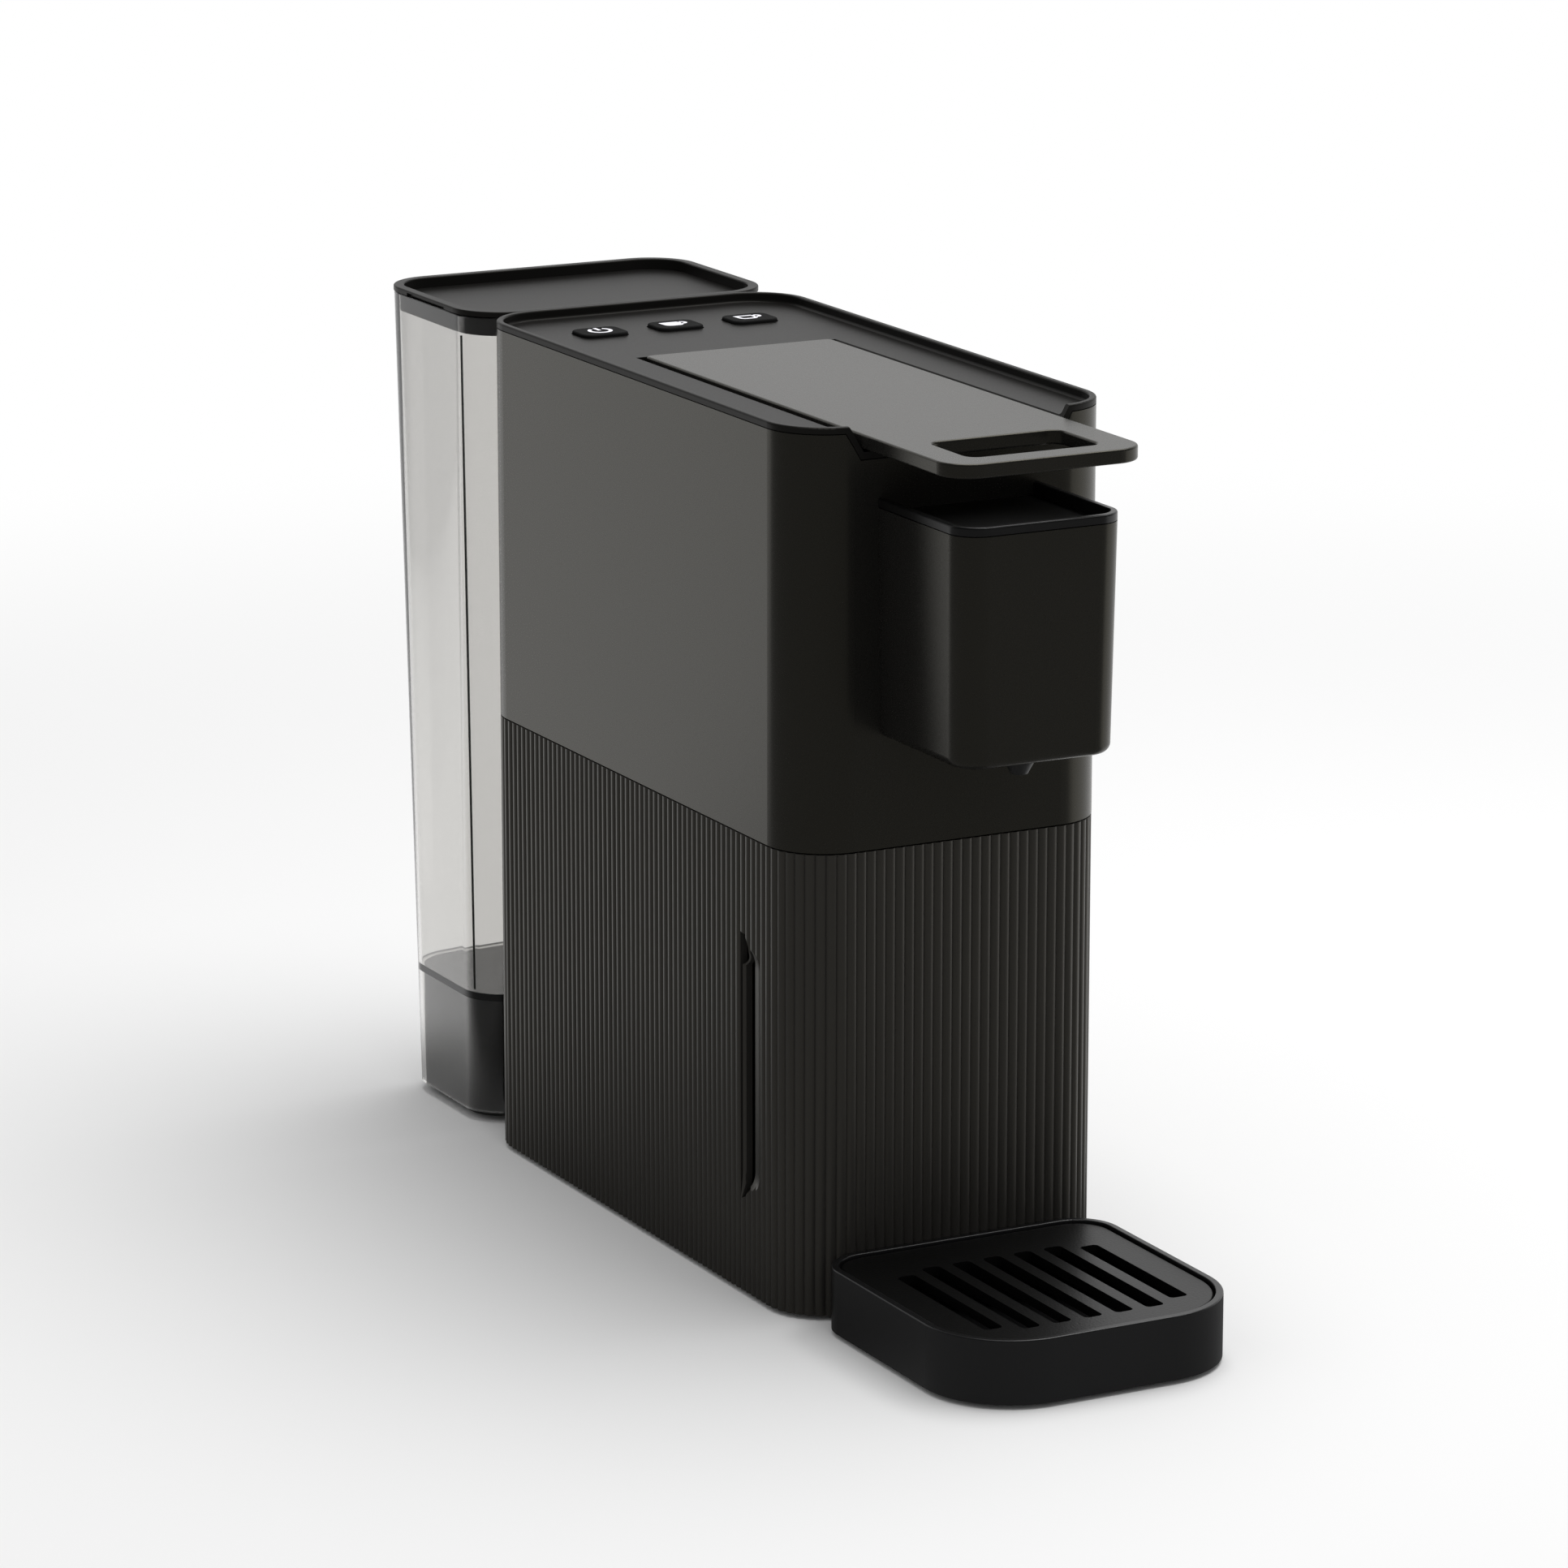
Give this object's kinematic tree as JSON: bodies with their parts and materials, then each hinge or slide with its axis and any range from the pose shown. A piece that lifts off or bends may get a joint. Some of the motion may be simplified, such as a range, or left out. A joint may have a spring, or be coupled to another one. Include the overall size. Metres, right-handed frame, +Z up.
{
  "type": "pod coffee machine",
  "caption": "Narrow countertop pod coffee machine with a flat top lever that slides the capsule cage, sprung buttons, a lift-off smoked water tank, and a pull-out capsule bin with a drip tray",
  "frame": {"origin": "on the ground under the middle of the whole machine, with the tray and the tank in place", "axes": "+Z up, the front with the brew head faces -Y, the water tank is at +Y, +X is the right side seen from the front"},
  "size_m": [0.11, 0.399, 0.2774],
  "materials": {
    "charcoal_plastic": "fine matte grain",
    "satin_black": "satin",
    "black_plastic": "matte",
    "white_plastic": "moulded",
    "rubber": "matte",
    "hose": "satin silicone",
    "steel": "plain stamped sheet and ground pins",
    "cast_metal": "as cast",
    "board": "solder mask",
    "smoked_clear": "clear smoked plastic"
  },
  "bodies": {
    "body": {"base_plate": "black_plastic", "base_screws": "steel", "brew_frame": "steel", "brew_head_cap": "charcoal_plastic", "brew_head_shell": "charcoal_plastic", "brew_hose": "hose", "brew_seal": "rubber", "bulkhead": "black_plastic", "chassis_shelf": "black_plastic", "coffee_funnel": "black_plastic", "control_board": "board", "cord_gland": "rubber", "flow_meter": "white_plastic", "injection_plate": "steel", "lever_hinge_pin": "steel", "power_board": "board", "pressure_hose": "hose", "pump": "white_plastic", "pump_bracket": "steel", "pump_hose": "hose", "pump_mounts": "rubber", "rear_lower_shell": "charcoal_plastic", "rubber_feet": "rubber", "socket_seal": "rubber", "spout_nozzle": "black_plastic", "suction_hose": "hose", "tact_switches": "black_plastic", "tank_plinth": "black_plastic", "thermoblock": "cast_metal", "thermoblock_clamps": "steel", "top_deck": "charcoal_plastic", "upper_shell": "charcoal_plastic", "valve_socket": "black_plastic"},
    "lever": {"lever": "charcoal_plastic", "crank_pins": "steel"},
    "carriage": {"draw_bars": "steel", "capsule_cage": "black_plastic"},
    "power_button": {"power_button": "charcoal_plastic"},
    "large_cup_button": {"large_cup_button": "charcoal_plastic"},
    "small_cup_button": {"small_cup_button": "charcoal_plastic"},
    "container": {"container_front": "charcoal_plastic", "capsule_bin": "black_plastic", "bin_rack": "black_plastic", "rack_legs": "black_plastic"},
    "tray": {"drip_tray": "satin_black", "tray_feet": "rubber"},
    "grid": {"drip_grid": "satin_black"},
    "tank": {"water_tank": "smoked_clear"},
    "poppet": {"valve_poppet": "white_plastic"},
    "lid": {"tank_lid": "charcoal_plastic"}
  },
  "joints": [
    {"name": "lever_hinge", "type": "hinge", "parent": "body", "child": "lever", "pos_m": [0, 0.0385, 0.2714], "axis": [-1, 0, 0], "range_deg": [0, 80]},
    {"name": "carriage_slide", "type": "slide", "parent": "body", "child": "carriage", "axis": [0, -1, 0], "range_m": [0, 0.0309]},
    {"name": "power_press", "type": "slide", "parent": "body", "child": "power_button", "axis": [0, 0, -1], "range_m": [0, 0.001], "stiffness_N_per_m": 400},
    {"name": "large_cup_press", "type": "slide", "parent": "body", "child": "large_cup_button", "axis": [0, 0, -1], "range_m": [0, 0.001], "stiffness_N_per_m": 400},
    {"name": "small_cup_press", "type": "slide", "parent": "body", "child": "small_cup_button", "axis": [0, 0, -1], "range_m": [0, 0.001], "stiffness_N_per_m": 400},
    {"name": "container_slide", "type": "slide", "parent": "body", "child": "container", "axis": [0, -1, 0], "range_m": [0, 0.12]},
    {"name": "tray_slide", "type": "slide", "parent": "container", "child": "tray", "axis": [0, -1, 0], "range_m": [0, 0.04]},
    {"name": "grid_lift", "type": "slide", "parent": "tray", "child": "grid", "axis": [0, 0, 1], "range_m": [0, 0.025]},
    {"name": "tank_lift", "type": "slide", "parent": "body", "child": "tank", "axis": [0, 0, 1], "range_m": [0, 0.06]},
    {"name": "lid_lift", "type": "slide", "parent": "tank", "child": "lid", "axis": [0, 0, 1], "range_m": [0, 0.02]},
    {"name": "poppet_close", "type": "slide", "parent": "tank", "child": "poppet", "axis": [0, 0, -1], "range_m": [0, 0.0018]}
  ],
  "couplings": [
    {"joint": "carriage_slide", "follows": "lever_hinge", "m_per_rad": 0.022097},
    {"joint": "poppet_close", "follows": "tank_lift", "ratio": 0.028333}
  ]
}
